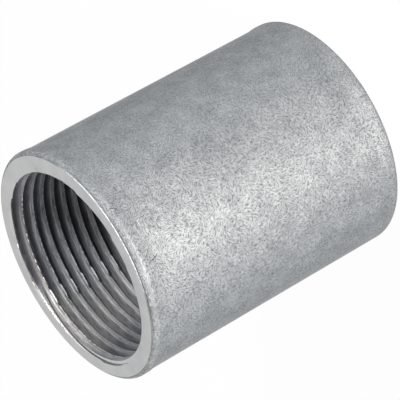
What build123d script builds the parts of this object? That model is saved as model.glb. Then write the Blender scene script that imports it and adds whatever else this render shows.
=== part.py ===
from build123d import *
import os

# A steel conduit coupling: one short piece of steel tube that is threaded inside from end
# to end and then galvanised. It is a single piece, so it is one solid, turned from the
# section of its wall. It stands on one end with its axis along +Z, and the origin is the
# middle of the end that it stands on. The bore here is the cylinder that the crests of the
# M25 x 1.5 thread lie on. The fine groove between the crests is left to the visual model.

# Driving dimensions, in millimetres. The thread sets the bore, and the wall stands on it.
coupling_length = 36.0
thread_diameter = 25.0
thread_depth = 0.75
wall_behind_thread = 1.7

# At each end the coat stands a little proud of the body in a narrow rim, which runs out
# into the body on a short slope.
rim_height = 0.1
rim_width = 1.1
rim_runout = 0.5

# The edges of each end face: a rounded outer one, and a bevel at the mouth of the bore.
outer_edge_radius = 0.45
mouth_bevel_width = 0.15
mouth_bevel_depth = 0.1

crest_radius = thread_diameter / 2 - thread_depth
body_radius = thread_diameter / 2 + wall_behind_thread
rim_radius = body_radius + rim_height

os.makedirs("parts", exist_ok=True)


with BuildPart() as coupling_body:
    # Half of the wall's section, from the bore out to the body and its two rims.
    lower_rim_top = rim_width
    upper_rim_foot = coupling_length - rim_width
    with BuildSketch(Plane.XZ):
        with BuildLine():
            Polyline(
                (crest_radius, 0),
                (rim_radius, 0),
                (rim_radius, lower_rim_top),
                (body_radius, lower_rim_top + rim_runout),
                (body_radius, upper_rim_foot - rim_runout),
                (rim_radius, upper_rim_foot),
                (rim_radius, coupling_length),
                (crest_radius, coupling_length),
                close=True,
            )
        make_face()
    revolve(axis=Axis.Z)

    # Each flat end face has two round edges, and the smaller one is the mouth of the bore.
    lower_end = faces().sort_by(Axis.Z)[0]
    upper_end = faces().sort_by(Axis.Z)[-1]
    for end_face in (lower_end, upper_end):
        mouth_edge, outer_edge = end_face.edges().sort_by(SortBy.RADIUS)
        fillet(outer_edge, outer_edge_radius)
        chamfer(mouth_edge, mouth_bevel_width, mouth_bevel_depth, reference=end_face)

coupling_body.part.label = "coupling_body"
export_step(coupling_body.part, "parts/coupling_body.step")
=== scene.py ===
# %% [markdown]
# # A galvanised conduit coupling
#
# A conduit coupling is a short steel tube with a thread inside, which joins two lengths of
# electrical conduit. This one is threaded from end to end and hot-dip galvanised. The lesson
# builds the whole coupling as one closed mesh: the turned outside, the screw thread in the
# bore and the two flat ends. Then it gives each surface its own finish.
#
# The frame comes first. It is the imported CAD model, it stands on z = 0 with its axis along
# +Z, and nothing in it moves. Blender works in metres here, as the frame does.

# %% The frame
import math

import bpy
from mathutils import Matrix, Vector


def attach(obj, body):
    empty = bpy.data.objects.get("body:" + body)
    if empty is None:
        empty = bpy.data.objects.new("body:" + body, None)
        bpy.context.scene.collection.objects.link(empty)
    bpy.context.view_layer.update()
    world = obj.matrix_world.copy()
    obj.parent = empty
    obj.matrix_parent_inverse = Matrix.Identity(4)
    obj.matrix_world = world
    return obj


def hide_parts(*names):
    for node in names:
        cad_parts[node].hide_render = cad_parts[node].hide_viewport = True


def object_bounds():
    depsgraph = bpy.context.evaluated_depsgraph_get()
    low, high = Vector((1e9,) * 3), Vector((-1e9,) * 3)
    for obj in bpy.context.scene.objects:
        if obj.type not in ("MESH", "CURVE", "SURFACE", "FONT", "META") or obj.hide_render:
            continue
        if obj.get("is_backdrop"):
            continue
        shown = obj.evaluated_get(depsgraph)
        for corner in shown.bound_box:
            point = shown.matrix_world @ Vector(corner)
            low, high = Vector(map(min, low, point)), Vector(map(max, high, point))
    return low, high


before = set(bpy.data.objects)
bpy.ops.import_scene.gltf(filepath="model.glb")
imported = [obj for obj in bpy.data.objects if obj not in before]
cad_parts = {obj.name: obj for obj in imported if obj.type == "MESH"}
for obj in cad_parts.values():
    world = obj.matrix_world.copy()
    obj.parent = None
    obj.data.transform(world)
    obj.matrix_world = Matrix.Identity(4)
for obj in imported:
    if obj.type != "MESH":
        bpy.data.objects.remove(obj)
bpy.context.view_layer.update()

# %% [markdown]
# ## Sizes
#
# A turned part is told by a few radii and heights, so these come first and everything else
# is worked out from them. The thread is M25 x 1.5: one turn climbs 1.5 mm, its crests lie on
# a cylinder 23.5 mm across and its roots about 0.8 mm deeper. Each end has a rim a tenth of
# a millimetre high, where the zinc drained and set a little thicker.

# %% Sizes of the coupling
MM = 0.001
LENGTH = 36.0 * MM
BODY_RADIUS = 14.2 * MM
RIM_RADIUS = 14.3 * MM
RIM_WIDTH = 1.1 * MM
RIM_RUNOUT = 0.5 * MM
EDGE_ROUNDING = 0.45 * MM

PITCH = 1.5 * MM
CREST_RADIUS = 11.75 * MM
ROOT_RADIUS = 12.57 * MM

# The finishes work in millimetres, and these are the same two sizes for them.
TOP = LENGTH / MM
TURN = PITCH / MM

print("wall behind the thread:", round((BODY_RADIUS - ROOT_RADIUS) / MM, 2), "mm")

# %% [markdown]
# ## Helpers for modelling by hand
#
# An operator acts on what is selected, so every step starts by deselecting all. Vertices and
# edges are then picked by where they are. In edit mode the selection lives in the edit mesh,
# and the easiest way to set it from code is to set it in object mode first.

# %% Selecting by place
def work_on(piece):
    if bpy.context.object and bpy.context.object.mode != "OBJECT":
        bpy.ops.object.mode_set(mode="OBJECT")
    bpy.ops.object.select_all(action="DESELECT")
    if piece:
        piece.select_set(True)
        bpy.context.view_layer.objects.active = piece


def radius_of(point):
    return math.hypot(point[0], point[1])


def degrees_of(point):
    return math.degrees(math.atan2(point[1], point[0]))


def pick(piece, kind, wanted):
    """Leaves the piece in edit mode with the wanted vertices selected, or the edges between
    them. kind is VERT or EDGE, and wanted says of a place whether it is picked."""
    work_on(piece)
    bpy.ops.object.mode_set(mode="EDIT")
    bpy.ops.mesh.select_mode(type=kind)
    bpy.ops.mesh.select_all(action="DESELECT")
    bpy.ops.object.mode_set(mode="OBJECT")
    chosen = [wanted(vertex.co) for vertex in piece.data.vertices]
    if kind == "VERT":
        piece.data.vertices.foreach_set("select", chosen)
        count = sum(chosen)
    else:
        count = 0
        for edge in piece.data.edges:
            edge.select = all(chosen[index] for index in edge.vertices)
            count += edge.select
    bpy.ops.object.mode_set(mode="EDIT")
    return count


# %% [markdown]
# ## The turned outside
#
# The outside is what a lathe would leave: a cylinder with a narrow rim at each end and a
# rounded corner. It could be a primitive cylinder with loops added, but drawing the rings
# one after another follows the drawing more closely. A circle on the lower end face is
# extruded from ring to ring up to the same circle on the upper end face, and only then are
# the two sharp outer corners rounded with the bevel operator. A ring on each end face, close
# to where the rounding will start, keeps the smooth shading from bending the flat's light.

# %% Rings of the outside
OUTSIDE_STEPS = 240
BODY_RINGS = 22
FACE_RING_RADIUS = 13.2 * MM
FLAT_EDGE_RADIUS = RIM_RADIUS - EDGE_ROUNDING - 0.06 * MM

# Each ring is a radius and a height.
outside_rings = [
    (FLAT_EDGE_RADIUS, 0.0),
    (RIM_RADIUS, 0.0),
    (RIM_RADIUS, 0.8 * MM),
    (RIM_RADIUS, RIM_WIDTH),
]
body_foot = RIM_WIDTH + RIM_RUNOUT
body_height = LENGTH - 2 * body_foot
for ring in range(BODY_RINGS + 1):
    outside_rings.append((BODY_RADIUS, body_foot + body_height * ring / BODY_RINGS))
outside_rings += [
    (RIM_RADIUS, LENGTH - RIM_WIDTH),
    (RIM_RADIUS, LENGTH - 0.8 * MM),
    (RIM_RADIUS, LENGTH),
    (FLAT_EDGE_RADIUS, LENGTH),
    (FACE_RING_RADIUS, LENGTH),
]

work_on(None)
bpy.ops.mesh.primitive_circle_add(
    vertices=OUTSIDE_STEPS, radius=FACE_RING_RADIUS, fill_type="NOTHING", location=(0, 0, 0)
)
coupling = bpy.context.object
coupling.name = "coupling"
bpy.ops.object.mode_set(mode="EDIT")
bpy.ops.mesh.select_all(action="SELECT")
last_radius, last_height = FACE_RING_RADIUS, 0.0
for radius, height in outside_rings:
    bpy.ops.mesh.extrude_region_move(TRANSFORM_OT_translate={"value": (0, 0, height - last_height)})
    grow = radius / last_radius
    bpy.ops.transform.resize(value=(grow, grow, 1), center_override=(0, 0, height))
    last_radius, last_height = radius, height
bpy.ops.object.mode_set(mode="OBJECT")
print("outside:", len(coupling.data.vertices), "vertices")

# %% Rounded outer corners
def on_sharp_corner(point):
    at_an_end = min(point[2], LENGTH - point[2]) < 1e-6
    return at_an_end and radius_of(point) > RIM_RADIUS - 1e-6


picked = pick(coupling, "EDGE", on_sharp_corner)
bpy.ops.mesh.bevel(offset=EDGE_ROUNDING, offset_type="OFFSET", segments=6, profile=0.5)
bpy.ops.object.mode_set(mode="OBJECT")
print("corner edges rounded:", picked, "and now", len(coupling.data.vertices), "vertices")

# %% [markdown]
# Real ends are never quite true. The cut that faced the upper end sat a third of a
# millimetre off centre, so its flat ring is wider at the back and the corner is broader at
# the front. The loops of that corner are moved one by one, and less the further down they
# are. The rim at the lower end stands proud on one side and dies away on the other.

# %% Uneven ends
FACING_SHIFT = 0.33 * MM
LOWER_RIM_SHIFT = 0.05 * MM

corner_heights = sorted(
    {round(v.co.z, 7) for v in coupling.data.vertices if v.co.z > LENGTH - EDGE_ROUNDING + 2e-6}
)
for height in corner_heights:
    sunk = (LENGTH - height) / EDGE_ROUNDING
    share = 1 - math.sqrt(1 - (1 - min(sunk, 1)) ** 2) if sunk > 1e-3 else 1
    pick(coupling, "VERT", lambda point: (
        abs(point[2] - height) < 1e-6 and radius_of(point) > FACE_RING_RADIUS + 2e-6
    ))
    bpy.ops.transform.translate(value=(0, FACING_SHIFT * share, 0))

pick(coupling, "VERT", lambda point: (
    point[2] < RIM_WIDTH + 1e-6 and radius_of(point) > FACE_RING_RADIUS + 2e-6
))
shrink = 1 - LOWER_RIM_SHIFT / RIM_RADIUS
bpy.ops.transform.resize(value=(shrink, shrink, 1), center_override=(0, 0, 0))
bpy.ops.transform.translate(value=(LOWER_RIM_SHIFT, 0, 0))
bpy.ops.object.mode_set(mode="OBJECT")
print("loops of the upper corner moved:", len(corner_heights))

# %% [markdown]
# ## The thread
#
# A screw thread is one profile swept along a helix, and the sweep could be a curve, an
# array or a bent strip. The Screw modifier is made for it: it turns a profile about an axis
# while lifting it. The profile drawn here is exactly one pitch high. So after one turn its
# top end meets the bottom end of the next turn, and the whole bore is one continuous skin
# with no gaps.
#
# The flanks stand at about 30 degrees to a plane across the axis. Zinc softens the corners of
# roots and crests, so each corner gets a few points. A right-hand thread climbs as the angle
# grows anticlockwise seen from above, which is what a positive screw offset does.

# %% Profile of one pitch
THREAD_STEPS = 144
SPARE_TURNS = 2
GROOVE_ANGLE = math.radians(128.0)

# Each point is a height and a radius in millimetres, from the middle of one root to the next.
thread_profile = [
    (0.000, 12.570),
    (0.045, 12.560),
    (0.085, 12.515),
    (0.180, 12.345),
    (0.270, 12.200),
    (0.285, 12.160),
    (0.400, 11.975),
    (0.475, 11.838),
    (0.505, 11.795),
    (0.550, 11.762),
    (0.610, 11.750),
    (0.750, 11.750),
    (0.890, 11.750),
    (0.960, 11.762),
    (1.010, 11.795),
    (1.045, 11.838),
    (1.110, 11.960),
    (1.300, 12.310),
    (1.415, 12.515),
    (1.455, 12.560),
    (1.500, 12.570),
]

work_on(None)
bpy.ops.mesh.primitive_plane_add(size=MM, location=(0, 0, 0))
bore = bpy.context.object
bore.name = "bore"
bpy.ops.object.mode_set(mode="EDIT")
bpy.ops.mesh.select_mode(type="VERT")
bpy.ops.mesh.select_all(action="SELECT")
bpy.ops.mesh.merge(type="CENTER")
bpy.ops.transform.translate(value=(thread_profile[0][1] * MM, 0, -SPARE_TURNS * PITCH))
for (z_from, r_from), (z_to, r_to) in zip(thread_profile, thread_profile[1:]):
    step = ((r_to - r_from) * MM, 0, (z_to - z_from) * MM)
    bpy.ops.mesh.extrude_vertices_move(TRANSFORM_OT_translate={"value": step})
bpy.ops.object.mode_set(mode="OBJECT")
print("profile:", len(bore.data.vertices), "points")

# %% Sweep along the helix
bpy.ops.object.modifier_add(type="SCREW")
helix = bore.modifiers["Screw"]
helix.axis = "Z"
helix.angle = 2 * math.pi
helix.screw_offset = PITCH
helix.iterations = round(LENGTH / PITCH) + SPARE_TURNS + 1
helix.steps = THREAD_STEPS
helix.render_steps = THREAD_STEPS
bpy.ops.object.modifier_apply(modifier="Screw")
bore.rotation_euler.z = GROOVE_ANGLE
bpy.ops.object.transform_apply(location=True, rotation=True, scale=True)
bpy.ops.object.mode_set(mode="EDIT")
bpy.ops.mesh.select_all(action="SELECT")
bpy.ops.mesh.remove_doubles(threshold=1e-6)
print("swept thread:", len(bore.data.polygons), "faces")

# %% [markdown]
# The tube was rolled from strip and welded, and the weld left a low bead down the inside.
# Where the tap crossed it, each crest is a little torn: a flat, bright bit stands proud for
# a millimetre or so, with a nick on either side. Each turn has the same points, so the
# same bit of every crest can be picked at once and moved. A little random movement, with a
# fixed seed, then makes no two of them alike.

# %% Torn crests along the weld
def height_in_turn(point):
    """How far a point of the bore is above the middle of the groove below it."""
    turned = math.atan2(point[1], point[0]) - GROOVE_ANGLE
    return (point[2] - PITCH * turned / (2 * math.pi)) % PITCH


def on_crest(point, low, high, first, last):
    between = low * MM < height_in_turn(point) < high * MM
    clear_of_ends = 0.7 * MM < point[2] < LENGTH - 0.7 * MM
    return between and clear_of_ends and first < degrees_of(point) < last


WELD_ANGLE = math.radians(98.0)
inward = Vector((-math.cos(WELD_ANGLE), -math.sin(WELD_ANGLE), 0))

# Each row has the lowest and highest place in the turn in millimetres, the first and last
# bearing in degrees, and the move.
moves = [
    (0.49, 0.77, 94.9, 101.1, inward * 0.035 * MM),
    (0.45, 0.62, 94.9, 101.1, Vector((0, 0, -0.055 * MM))),
    (0.45, 0.77, 102.4, 103.6, inward * -0.10 * MM),
    (0.45, 0.62, 102.4, 103.6, Vector((0, 0, 0.04 * MM))),
    (0.45, 0.77, 92.4, 93.6, inward * -0.07 * MM),
    (0.45, 0.62, 81.0, 91.6, Vector((0, 0, -0.03 * MM))),
]
for low, high, first, last, move in moves:
    picked = pick(bore, "VERT", lambda point: on_crest(point, low, high, first, last))
    bpy.ops.transform.translate(value=move)
    print("moved by", round(move.length / MM, 3), "mm:", picked, "points")

pick(bore, "VERT", lambda point: on_crest(point, 0.45, 0.62, 60.0, 124.0))
bpy.ops.transform.vertex_random(offset=0.012 * MM, uniform=0.0, normal=0.0, seed=7)
picked = pick(bore, "VERT", lambda point: on_crest(point, 0.45, 0.77, 88.0, 108.0))
bpy.ops.transform.vertex_random(offset=0.025 * MM, uniform=0.0, normal=0.0, seed=11)
print("most roughened points:", picked)

# %% [markdown]
# The sweep runs past both ends, as a tap does. Two bisecting cuts trim it to the end faces.
# The groove then breaks out through each face, so the hole's edge there isn't a circle: it
# swells where the groove runs out. Two more cuts just inside each end give the mouth its
# rounded lip: the loops are scaled outwards, most at the face and less below it.

# %% Trim to length and open the mouths
# Each loop is its depth below the face and how far it is widened.
MOUTH_LIP = [(0.0, 0.22 * MM), (0.09 * MM, 0.09 * MM), (0.22 * MM, 0.0)]

for height, side in [(0.0, "clear_inner"), (LENGTH, "clear_outer")]:
    bpy.ops.mesh.select_all(action="SELECT")
    bpy.ops.mesh.bisect(plane_co=(0, 0, height), plane_no=(0, 0, 1), threshold=1e-8, **{side: True})
for depth, widening in MOUTH_LIP[1:]:
    for height in (depth, LENGTH - depth):
        bpy.ops.mesh.select_all(action="SELECT")
        bpy.ops.mesh.bisect(plane_co=(0, 0, height), plane_no=(0, 0, 1), threshold=1e-8)
for depth, widening in MOUTH_LIP:
    for height in (depth, LENGTH - depth):
        if widening:
            pick(bore, "EDGE", lambda point: abs(point[2] - height) < 1e-7)
            grow = 1 + widening / CREST_RADIUS
            bpy.ops.transform.resize(value=(grow, grow, 1), center_override=(0, 0, height))
bpy.ops.object.mode_set(mode="OBJECT")
print("trimmed thread:", len(bore.data.polygons), "faces")

# %% [markdown]
# ## The end faces
#
# The bore joins the outside by a flat ring at each end. One large face can't have a hole in
# it. A bridge is best between two loops that match point for point, and these don't, because
# the groove breaks out through the inner one: a bridge between them ran across the hole. The
# fill operator takes flat closed loops and lays triangles between them, so it is used here.

# %% Join the bore to the outside
work_on(coupling)
bore.select_set(True)
bpy.ops.object.join()
for height in (0.0, LENGTH):
    picked = pick(coupling, "EDGE", lambda point: (
        abs(point[2] - height) < 1e-7 and radius_of(point) < FACE_RING_RADIUS + 1e-6
    ))
    bpy.ops.mesh.fill(use_beauty=True)
    print("end face at", round(height / MM, 1), "mm filled from", picked, "edges")
bpy.ops.mesh.select_all(action="SELECT")
bpy.ops.mesh.normals_make_consistent(inside=False)
bpy.ops.object.mode_set(mode="OBJECT")
bpy.ops.object.shade_smooth_by_angle(angle=math.radians(32))

triangles = sum(len(face.vertices) - 2 for face in coupling.data.polygons)
print("coupling:", triangles, "triangles")

# %% [markdown]
# ## Node helpers
#
# A finish is a node tree, and most of its nodes are sums. The Wire class below wraps an
# output socket, so that sums can be written as sums: each + or * adds a Math node. Every
# other node comes from the node method of Finish.

# %% Wires and finishes
class Wire:
    """An output socket. The operators below are for one that carries a plain number."""

    def __init__(self, finish, socket):
        self.finish = finish
        self.socket = socket

    def maths(self, operation, *others):
        sockets = dict(enumerate((self,) + others))
        return self.finish.node("ShaderNodeMath", {"operation": operation}, sockets)

    def __add__(self, other):
        return self.maths("ADD", other)

    def __sub__(self, other):
        return self.maths("SUBTRACT", other)

    def __mul__(self, other):
        return self.maths("MULTIPLY", other)

    def __truediv__(self, other):
        return self.maths("DIVIDE", other)

    __radd__ = __add__
    __rmul__ = __mul__

    def __rsub__(self, other):
        return self.finish.node("ShaderNodeMath", {"operation": "SUBTRACT"}, {0: other, 1: self})


class Finish:
    """The node tree of a material, or of the world, under construction."""

    def __init__(self, owner, output="ShaderNodeOutputMaterial"):
        owner.use_nodes = True
        self.owner = owner
        self.tree = owner.node_tree
        self.tree.nodes.clear()
        self.output = self.tree.nodes.new(output)

    def node(self, kind, settings=None, sockets=None, output=0):
        made = self.tree.nodes.new(kind)
        for name, setting in (settings or {}).items():
            setattr(made, name, setting)
        for name, value in (sockets or {}).items():
            if isinstance(value, Wire):
                self.tree.links.new(value.socket, made.inputs[name])
            else:
                made.inputs[name].default_value = value
        return Wire(self, made.outputs[output])

    def ramp(self, value, low, high, start=0.0, end=1.0):
        """Goes smoothly from start to end while value goes from low to high."""
        sockets = {
            "Value": value,
            "From Min": low,
            "From Max": high,
            "To Min": start,
            "To Max": end,
        }
        return self.node("ShaderNodeMapRange", {"interpolation_type": "SMOOTHSTEP"}, sockets)

    def band(self, value, low, high, soft):
        """1 where value is between low and high, and soft is how wide the edges are."""
        return self.ramp(value, low - soft, low) * self.ramp(value, high, high + soft, 1.0, 0.0)

    def blend(self, share, first, second):
        """A colour that is first where share is 0 and second where it is 1."""
        return self.node("ShaderNodeMix", {"data_type": "RGBA"}, {0: share, 6: first, 7: second}, 2)

    def noise(self, vector, scale, detail=2.0, roughness=0.5, dimensions="3D"):
        sockets = {"Vector": vector, "Scale": scale, "Detail": detail, "Roughness": roughness}
        return self.node("ShaderNodeTexNoise", {"noise_dimensions": dimensions}, sockets)

    def place(self):
        """Where a point is: its place as one vector, and as x, y and z in millimetres."""
        point = self.node("ShaderNodeTexCoord", output="Object")
        x, y, z = (
            self.node("ShaderNodeSeparateXYZ", sockets={"Vector": point}, output=axis) * (1 / MM)
            for axis in "XYZ"
        )
        return point, x, y, z

    def vector(self, x, y, z=0.0):
        return self.node("ShaderNodeCombineXYZ", sockets={"X": x, "Y": y, "Z": z})

    def bump(self, height, depth):
        """A normal from a height of 0 to 1, which stands for depth in metres."""
        sockets = {"Height": height, "Strength": 1.0, "Distance": depth}
        return self.node("ShaderNodeBump", sockets=sockets)

    def to_output(self, shader):
        self.tree.links.new(shader.socket, self.output.inputs["Surface"])
        return self.owner


def distance_from(x, y, middle_x=0.0, middle_y=0.0):
    """How far a place is from an upright line, such as the coupling's axis."""
    x, y = x - middle_x, y - middle_y
    return (x * x + y * y).maths("SQRT")


def on_side(finish, x, y, radius, bearing, none_at, full_at):
    """1 where a place is turned less than full_at degrees from a bearing, and 0 past none_at."""
    angle = math.radians(bearing)
    facing = (x * math.cos(angle) + y * math.sin(angle)) / radius
    return finish.ramp(facing, math.cos(math.radians(none_at)), math.cos(math.radians(full_at)))


# %% [markdown]
# ## The zinc coat
#
# Hot-dip zinc sets as crystals about a millimetre across, and each crystal is full of fine
# parallel ridges that point their own way. Up close that looks like short scratches lying
# in all directions. The pattern is built the same way: a Voronoi texture splits the surface
# into crystals, the colour of a crystal picks an angle, and a noise that is stretched along
# that angle draws the ridges. Two such layers are laid over each other, so that they cross.
# The surface is unrolled first, in millimetres. One direction is the angle times the radius.
# The other is the height less the distance from the axis, so that the pattern runs on over
# the rounded corners.
#
# The ridges mirror the light unevenly: they hardly show in the flat light at the sides, and
# stand out where the surface turns through the highlight. So they feed the roughness as well
# as the colour.

# %% Zinc on the outside
def ridges(finish, along, up, crystal, length, width, offset):
    flat = finish.vector(along + offset, up)
    sway = finish.noise(flat, 1.3, 1.0, dimensions="2D") * 0.9
    cell = finish.node(
        "ShaderNodeTexVoronoi",
        {"voronoi_dimensions": "2D", "feature": "F1"},
        {"Vector": finish.vector(along + sway + offset, up + sway), "Scale": 1 / crystal},
        "Color",
    )
    turn = finish.node("ShaderNodeSeparateColor", sockets={"Color": cell}) * math.pi
    cosine, sine = turn.maths("COSINE"), turn.maths("SINE")
    lengthwise = (along * cosine + up * sine) * (1 / length)
    crosswise = (up * cosine - along * sine) * (1 / width)
    return finish.noise(finish.vector(lengthwise, crosswise), 1.0, 1.0, 0.5, "2D")


coat = Finish(bpy.data.materials.new("zinc_coat"))
point, x, y, z = coat.place()
along = x.maths("ARCTAN2", 0 - y) * (BODY_RADIUS / MM)
up_the_side = z - distance_from(x, y)
first_layer = ridges(coat, along, up_the_side, crystal=1.1, length=0.56, width=0.074, offset=0.0)
second_layer = ridges(coat, along, up_the_side, crystal=0.9, length=0.46, width=0.070, offset=37.0)
scored = coat.ramp(first_layer + second_layer, 0.84, 1.20)
cloud = coat.noise(point, 480.0, 2.0)
swell = coat.noise(point, 420.0, 2.0)
zinc_dark = (0.150, 0.165, 0.177, 1.0)
zinc_light = (0.325, 0.341, 0.354, 1.0)

# %% [markdown]
# The corner at the upper end is where the coat is knocked off first. A thin bright bead
# runs along it at the front: worn bare zinc, with a painted highlight where the rounding
# faces the light. A dark hairline just below takes over from it on one side, and it is
# painted shade. The corner is also duller than the body, so that it doesn't flash in the
# light, and it is painted lighter close to the face, as painted light on the rounding. The
# few small scratches near it are thin straight marks, each placed by the way round the side
# and the height.

# %% Worn upper corner
corner_radius = distance_from(x, y, 0.0, FACING_SHIFT / MM)
on_corner = coat.ramp(z, TOP - 0.80, TOP - 0.45)
near_the_face = coat.ramp(z, TOP - 0.42, TOP - 0.12)
# Close to the face the corner's colour is painted lighter: painted light on the upper rounding.
corner_painted_light = coat.blend(near_the_face, zinc_light, (0.43, 0.44, 0.445, 1.0))
coat_colour = coat.blend(
    cloud * 0.9 + 0.35 - scored * (on_corner * 0.7 + 0.5), zinc_dark, corner_painted_light
)
at_top = coat.ramp(z, TOP - 0.25, TOP - 0.15)
chips = coat.ramp(coat.noise(point, 2600.0, 2.0), 0.38, 0.56, 0.45, 1.0)
# The bead is worn bare zinc with a painted highlight on the part of the rounding that faces the
# light.
bead_highlight = coat.band(corner_radius, 13.89, 14.08, 0.05) * at_top
bead_highlight = bead_highlight * on_side(coat, x, y, corner_radius, -80.0, 46.0, 18.0) * chips
# The dark hairline is painted shade just below the bead.
shade_hairline = coat.band(corner_radius, 14.14, 14.22, 0.04) * at_top
shade_hairline = shade_hairline * on_side(coat, x, y, corner_radius, -108.0, 38.0, 12.0) * 0.85

# %% Small scratches near the upper end
def scratch(finish, across, up, start, end, width):
    """1 on a straight scratch between two places of the unrolled surface, in millimetres."""
    step = (end[0] - start[0], end[1] - start[1])
    length = math.hypot(*step)
    ahead_x, ahead_y = step[0] / length, step[1] / length
    from_start, above_start = across - start[0], up - start[1]
    ahead = from_start * ahead_x + above_start * ahead_y
    aside = above_start * ahead_x - from_start * ahead_y
    return finish.band(ahead, 0.0, length, 0.08) * finish.band(aside, -width / 2, width / 2, 0.05)


def strongest(wires):
    """The highest of a few shares at each place."""
    first, *others = wires
    for wire in others:
        first = first.maths("MAXIMUM", wire)
    return first


# Each scratch runs from one place to another, each the way round and the height.
dark_scratches = [
    ((5.68, 33.42), (5.20, 33.37)),
    ((3.72, 35.40), (3.25, 34.66)),
    ((-3.54, 34.32), (-3.22, 33.26)),
]
bright_scratches = [((-0.72, 32.17), (-1.54, 32.02)), ((1.12, 33.36), (0.42, 33.47))]
dark = strongest([scratch(coat, along, z, start, end, 0.06) for start, end in dark_scratches])
pale = strongest([scratch(coat, along, z, start, end, 0.05) for start, end in bright_scratches])
coat_colour = coat.blend(dark * 0.8, coat_colour, (0.06, 0.06, 0.065, 1.0))
coat_colour = coat.blend(pale * 0.5, coat_colour, (0.6, 0.61, 0.62, 1.0))

# %% The coat's shader
# Painted shade of the hairline.
coat_colour = coat.blend(shade_hairline, coat_colour, (0.05, 0.05, 0.055, 1.0))
# The bead's worn zinc and painted highlight.
coat_colour = coat.blend(bead_highlight, coat_colour, (0.86, 0.89, 0.90, 1.0))
dull = coat.ramp(scored, 0.0, 1.0, 0.53, 0.25)
dull = dull * (1 - on_corner) + on_corner * 0.8
zinc_coat = coat.to_output(
    coat.node(
        "ShaderNodeBsdfPrincipled",
        sockets={
            "Base Color": coat_colour,
            "Metallic": 0.88,
            "Specular Tint": (0.5, 0.52, 0.53, 1.0),
            "Roughness": dull,
            "Normal": coat.bump(swell, 0.075 * MM),
        },
    )
)
print("nodes in the coat:", len(coat.tree.nodes))

# %% [markdown]
# ## The end faces and the thread
#
# The end faces are smooth zinc, paler and almost without crystals. Two marks are painted
# at the upper mouth: a painted highlight on the lip's edge at the back, and a painted
# shadow line below it that climbs out over the lip. Both lie partly on the lip and partly
# in the thread, so one function draws them for both finishes.

# %% Marks at the mouth
def mouth_marks(finish, point, x, y, z, radius):
    """How much painted highlight on the lip, and painted shadow line below it, there is at a place.
    """
    sunk = TOP - z
    below_face = finish.ramp(sunk, 0.004, 0.03)
    shadow_line_depth = ((1.728 - y.maths("ARCTAN2", x)) * 2.0).maths("EXPONENT") * 0.43
    below_shadow_line = sunk - shadow_line_depth
    chips = finish.ramp(finish.noise(point, 4200.0, 2.0), 0.34, 0.52)
    # A painted highlight on the lip's edge at the back of the mouth.
    lip_highlight = finish.ramp(below_shadow_line, -0.04, -0.12) * below_face * chips
    lip_highlight = lip_highlight * on_side(finish, x, y, radius, 113.0, 27.0, 20.0)
    lip_highlight = lip_highlight * finish.ramp(sunk, 0.18, 0.30, 0.9, 0.15)
    # A painted shadow line just below the lip, climbing out over it.
    lip_shadow_line = finish.band(below_shadow_line, -0.035, 0.035, 0.035) * below_face
    lip_shadow_line = lip_shadow_line * on_side(finish, x, y, radius, 135.0, 45.0, 38.0) * 0.9
    return lip_highlight, lip_shadow_line


def painted_mouth_shade(finish, x, y, z, radius):
    """1 where the first turns on one side of the upper mouth are painted in shade, and 0 elsewhere.
    """
    return on_side(finish, x, y, radius, 58.0, 44.0, 16.0) * finish.ramp(z, TOP - 2.9, TOP - 1.1)


# %% Zinc on the end faces
face = Finish(bpy.data.materials.new("zinc_end_face"))
point, x, y, z = face.place()
radius = distance_from(x, y)
mottle = face.noise(point, 480.0, 3.0)
face_colour = face.blend(mottle, (0.38, 0.385, 0.39, 1.0), (0.54, 0.545, 0.55, 1.0))

pit = face.ramp(distance_from(x, y, 11.74, -3.48), 0.05, 0.11, 1.0, 0.0)
lip_highlight, lip_shadow_line = mouth_marks(face, point, x, y, z, radius)
# The lip's painted highlight and painted shadow line.
face_colour = face.blend(pit * 0.7, face_colour, (0.10, 0.10, 0.10, 1.0))
face_colour = face.blend(lip_highlight, face_colour, (0.8, 0.8, 0.8, 1.0))
face_colour = face.blend(lip_shadow_line, face_colour, (0.06, 0.06, 0.065, 1.0))
in_the_mouth = face.ramp(TOP - z, 0.005, 0.06)
# Painted shade on one side of the upper mouth, reaching over the lip.
mouth_shade = painted_mouth_shade(face, x, y, z, radius) * in_the_mouth
face_colour = face.blend(mouth_shade * 0.95, face_colour, (0.02, 0.02, 0.025, 1.0))
zinc_end_face = face.to_output(
    face.node(
        "ShaderNodeBsdfPrincipled",
        sockets={
            "Base Color": face_colour,
            "Metallic": 0.6,
            "Roughness": 0.45,
            "Normal": face.bump(mottle, 0.01 * MM),
        },
    )
)
print("nodes in the end faces:", len(face.tree.nodes))

# %% [markdown]
# Inside, the groove is painted darker the deeper it is cut: painted shade in the roots.
# Roots and crests are both brighter from about a centimetre in. The tap left fine score
# marks that follow the helix. A noise draws them in the thread's own coordinates: how high a
# point is within its turn, squeezed, and where it is round the bore, nearly as it is.

# %% Dark zinc in the thread
thread = Finish(bpy.data.materials.new("zinc_thread"))
point, x, y, z = thread.place()
radius = distance_from(x, y)
turns_up = z / TURN - (y.maths("ARCTAN2", x) - GROOVE_ANGLE) / (2 * math.pi)
in_turn = turns_up.maths("FRACT")
squeezed = thread.vector(x * 0.7 + z * 0.2, y * 0.7 + z * 0.1, in_turn * 22)
score_marks = thread.noise(squeezed, 1.0, 2.0)
uneven = in_turn * TURN + (score_marks - 0.5) * 0.2
# Painted shade: darker from the crest's lower corner down into the root.
root_shade = thread.ramp(uneven, 0.60, 1.32).maths("MAXIMUM", thread.ramp(uneven, 0.54, 0.44))
print("one turn runs from root to root over", TURN, "mm")

# %% Colours of roots and crests
# Painted light and shade: roots are painted lighter on the side at 120 degrees, and crests darker
# on the side at 152 degrees, where light falls unevenly into the bore.
lit_side = on_side(thread, x, y, radius, 120.0, 29.0, 12.0)
shaded_side = on_side(thread, x, y, radius, 152.0, 24.0, 10.0)
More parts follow.
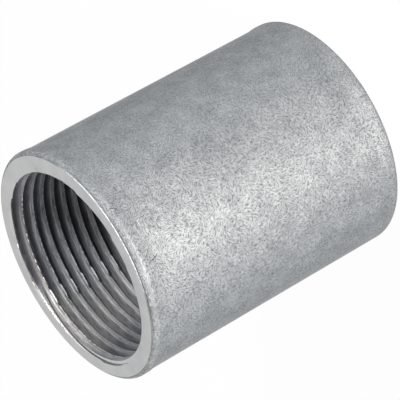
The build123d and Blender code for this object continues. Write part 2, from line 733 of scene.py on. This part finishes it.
# Painted shade in the first turns on one side of the upper mouth.
mouth_shade = painted_mouth_shade(thread, x, y, z, radius)
far_in = thread.ramp(z, TOP - 7.5, TOP - 11.0)
root_colour = thread.blend(lit_side, (0.090, 0.094, 0.112, 1.0), (0.20, 0.20, 0.20, 1.0))
root_colour = thread.blend(mouth_shade, root_colour, (0.02, 0.021, 0.025, 1.0))
root_colour = thread.blend(far_in * 0.5, root_colour, (0.20, 0.20, 0.21, 1.0))
crest_colour = thread.blend(shaded_side, (0.51, 0.51, 0.52, 1.0), (0.35, 0.35, 0.36, 1.0))
crest_colour = thread.blend(mouth_shade, crest_colour, (0.17, 0.17, 0.18, 1.0))
crest_colour = thread.blend(far_in, crest_colour, (0.80, 0.80, 0.81, 1.0))
scores = thread.ramp(score_marks, 0.48, 0.62, 0.0, 0.6)
grime = thread.ramp(thread.noise(point, 1500.0, 2.0), 0.5, 0.8, 0.0, 0.35)
thread_colour = thread.blend(root_shade, crest_colour, root_colour)
thread_colour = thread.blend(scores, thread_colour, (0.06, 0.06, 0.07, 1.0))
thread_colour = thread.blend(grime, thread_colour, (0.10, 0.10, 0.11, 1.0))

# %% [markdown]
# The corner on the lower side of each crest catches the light, and that highlight is
# painted into the colour. Where the weld tore it, it is one bright painted bit with painted
# shade in the nick on either side. In the quarter turn before the weld, and on the first
# crest, a fine noise breaks the painted highlight into bits, as on a chipped corner.

# %% Painted highlights on torn and chipped crest corners
# Painted highlight along the lower corner of each crest.
lower_corner = thread.band(in_turn * TURN, 0.50, 0.60, 0.05)
torn_corner = thread.band(in_turn * TURN, 0.41, 0.60, 0.04)
torn_glint = torn_corner * on_side(thread, x, y, radius, 98.5, 5.0, 3.4)
before_weld = on_side(thread, x, y, radius, 58.0, 38.0, 32.0)
first_crest = thread.ramp(z, TOP - 1.2, TOP - 1.0)
chipped_glints = thread.ramp(thread.noise(point, 1900.0, 1.0), 0.46, 0.58)
chipped_glints = lower_corner * chipped_glints * strongest([before_weld, first_crest]) * 0.8
crest_glint = strongest([torn_glint, chipped_glints])
# Painted shade in the nicks on either side of the torn bit.
nick_shades = [on_side(thread, x, y, radius, bearing, 1.7, 0.8) for bearing in (93.4, 103.3)]
nick_shade = strongest(nick_shades) * torn_corner * 0.8
thread_colour = thread.blend(nick_shade, thread_colour, (0.05, 0.05, 0.055, 1.0))
# The painted highlight of the torn and chipped corners.
thread_colour = thread.blend(crest_glint, thread_colour, (0.88, 0.93, 0.96, 1.0))
# The lip's painted highlight and painted shadow line reach into the thread.
lip_highlight, lip_shadow_line = mouth_marks(thread, point, x, y, z, radius)
thread_colour = thread.blend(lip_highlight, thread_colour, (0.7, 0.7, 0.7, 1.0))
thread_colour = thread.blend(lip_shadow_line, thread_colour, (0.03, 0.03, 0.035, 1.0))
zinc_thread = thread.to_output(
    thread.node(
        "ShaderNodeBsdfPrincipled",
        sockets={
            "Base Color": thread_colour,
            "Metallic": 0.35 * (1 - crest_glint),
            "Roughness": 0.5,
            "Normal": thread.bump(score_marks, 0.03 * MM),
        },
    )
)
print("nodes in the thread:", len(thread.tree.nodes))

# %% [markdown]
# The three finishes share one mesh, so each face is given its own by where it is. The lip of
# each mouth is cut with the end face and has the same bright zinc, and the rest of the bore
# has the dark one.

# %% Which face has which finish
LIP_DEPTH = 0.21 * MM
FLAT_DEPTH = 0.003 * MM

work_on(coupling)
for finish in (zinc_coat, zinc_end_face, zinc_thread):
    coupling.data.materials.append(finish)
for polygon in coupling.data.polygons:
    place = polygon.center
    inside = radius_of(place) < FACE_RING_RADIUS
    from_end = min(place[2], LENGTH - place[2])
    if from_end < FLAT_DEPTH or (inside and from_end < LIP_DEPTH):
        polygon.material_index = 1
    elif inside:
        polygon.material_index = 2
    else:
        polygon.material_index = 0
for index, finish in enumerate(coupling.data.materials):
    count = sum(polygon.material_index == index for polygon in coupling.data.polygons)
    print(finish.name, "is on", count, "faces")

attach(coupling, "root")
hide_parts("coupling_body")

# %% [markdown]
# ## Floor, light and camera
#
# The coupling stands on a pale floor. The floor and the sky look plain white to the camera,
# and to metal that mirrors them. Zinc is a dull mirror, so what it looks like depends on what
# stands round it. A low, wide softbox in front gives the broad highlight along the body, and
# a weaker one beside it lets that fade slowly. A third lights the side that is lowest in the
# picture, and a fourth shines down into the bore.

# %% Floor and sky
def seen_directly(finish):
    """1 for what the camera sees, straight or by way of metal or glass, and 0 for the rest."""
    camera, mirrored, through = (
        finish.node("ShaderNodeLightPath", output=f"Is {ray} Ray")
        for ray in ("Camera", "Glossy", "Transmission")
    )
    return camera.maths("MAXIMUM", mirrored).maths("MAXIMUM", through)


work_on(None)
bpy.ops.mesh.primitive_plane_add(size=4.0, location=(0, 0, 0))
floor = bpy.context.object
floor.name = "floor"
paper = Finish(bpy.data.materials.new("white_floor"))
matt = paper.node("ShaderNodeBsdfDiffuse", sockets={"Color": (0.9, 0.9, 0.9, 1.0)})
white = paper.node("ShaderNodeEmission", sockets={"Color": (1, 1, 1, 1), "Strength": 1.0})
white_share = seen_directly(paper) * 0.96
paper.to_output(paper.node("ShaderNodeMixShader", sockets={0: white_share, 1: matt, 2: white}))
floor.data.materials.append(paper.owner)
floor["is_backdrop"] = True

bpy.context.scene.world = bpy.data.worlds.new("studio")
sky = Finish(bpy.context.scene.world, "ShaderNodeOutputWorld")
strength = sky.ramp(seen_directly(sky), 0.0, 1.0, 0.30, 1.0)
backdrop = sky.node("ShaderNodeBackground", sockets={"Color": (1, 1, 1, 1), "Strength": strength})
sky.to_output(backdrop)
print("floor and sky are in place")

# %% Lamps
LAMP_DISTANCE = 0.7
NEUTRAL = (1.0, 1.0, 1.0)
WARM = (1.0, 0.92, 0.85)


def softbox(name, azimuth, elevation, width, height, level, tint=NEUTRAL):
    """A rectangular lamp that faces the coupling. azimuth is in degrees from +X towards +Y,
    and level is the light that it gives to a white surface facing it."""
    around, above = math.radians(azimuth), math.radians(elevation)
    outward = Vector(
        (math.cos(around) * math.cos(above), math.sin(around) * math.cos(above), math.sin(above))
    )
    middle = Vector((0, 0, LENGTH / 2))
    bpy.ops.object.light_add(type="AREA", location=middle + outward * LAMP_DISTANCE)
    lamp = bpy.context.object
    lamp.name = name
    lamp.rotation_euler = outward.to_track_quat("Z", "Y").to_euler()
    lamp.data.shape = "RECTANGLE"
    lamp.data.size = width
    lamp.data.size_y = height
    lamp.data.energy = level * math.pi ** 2 * LAMP_DISTANCE ** 2
    lamp.data.color = tint
    return lamp


softbox("key_softbox", azimuth=-117, elevation=4, width=0.15, height=0.07, level=1.74, tint=WARM)
softbox("fill_softbox", azimuth=-79, elevation=4, width=0.16, height=0.07, level=0.53, tint=WARM)
softbox("side_softbox", azimuth=-160, elevation=8, width=0.24, height=0.1, level=0.5)
softbox("bore_softbox", azimuth=-43, elevation=33, width=0.2, height=0.16, level=0.92)

# %% [markdown]
# The camera looks down at the standing coupling from the front. It is rolled so far that the
# coupling seems to lie on its side, with the upper mouth at the lower left of the picture.

# %% Camera
CAMERA_ELEVATION = math.radians(27.406)
CAMERA_ROLL = math.radians(-119.197)
CAMERA_PLACE = (-0.00026, -0.29153, 0.16930)
CAMERA_LENS = 256.78

back = Vector((0, -math.cos(CAMERA_ELEVATION), math.sin(CAMERA_ELEVATION)))
level_right = Vector((1, 0, 0))
level_up = back.cross(level_right)
right = level_right * math.cos(CAMERA_ROLL) + level_up * math.sin(CAMERA_ROLL)
up = back.cross(right)
bpy.ops.object.camera_add()
camera = bpy.context.object
camera.name = "photo_camera"
camera.matrix_world = Matrix((right, up, back)).transposed().to_4x4()
camera.location = CAMERA_PLACE
camera.data.sensor_width = 36.0
camera.data.lens = CAMERA_LENS
camera.data.clip_start = 0.01
bpy.context.scene.camera = camera
bpy.context.scene.view_settings.view_transform = "Standard"
print("camera is", round(camera.location.length, 3), "m from the origin")

# %% Size of the whole model
low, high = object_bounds()
print("model box:", [round(side / MM, 2) for side in high - low], "mm")
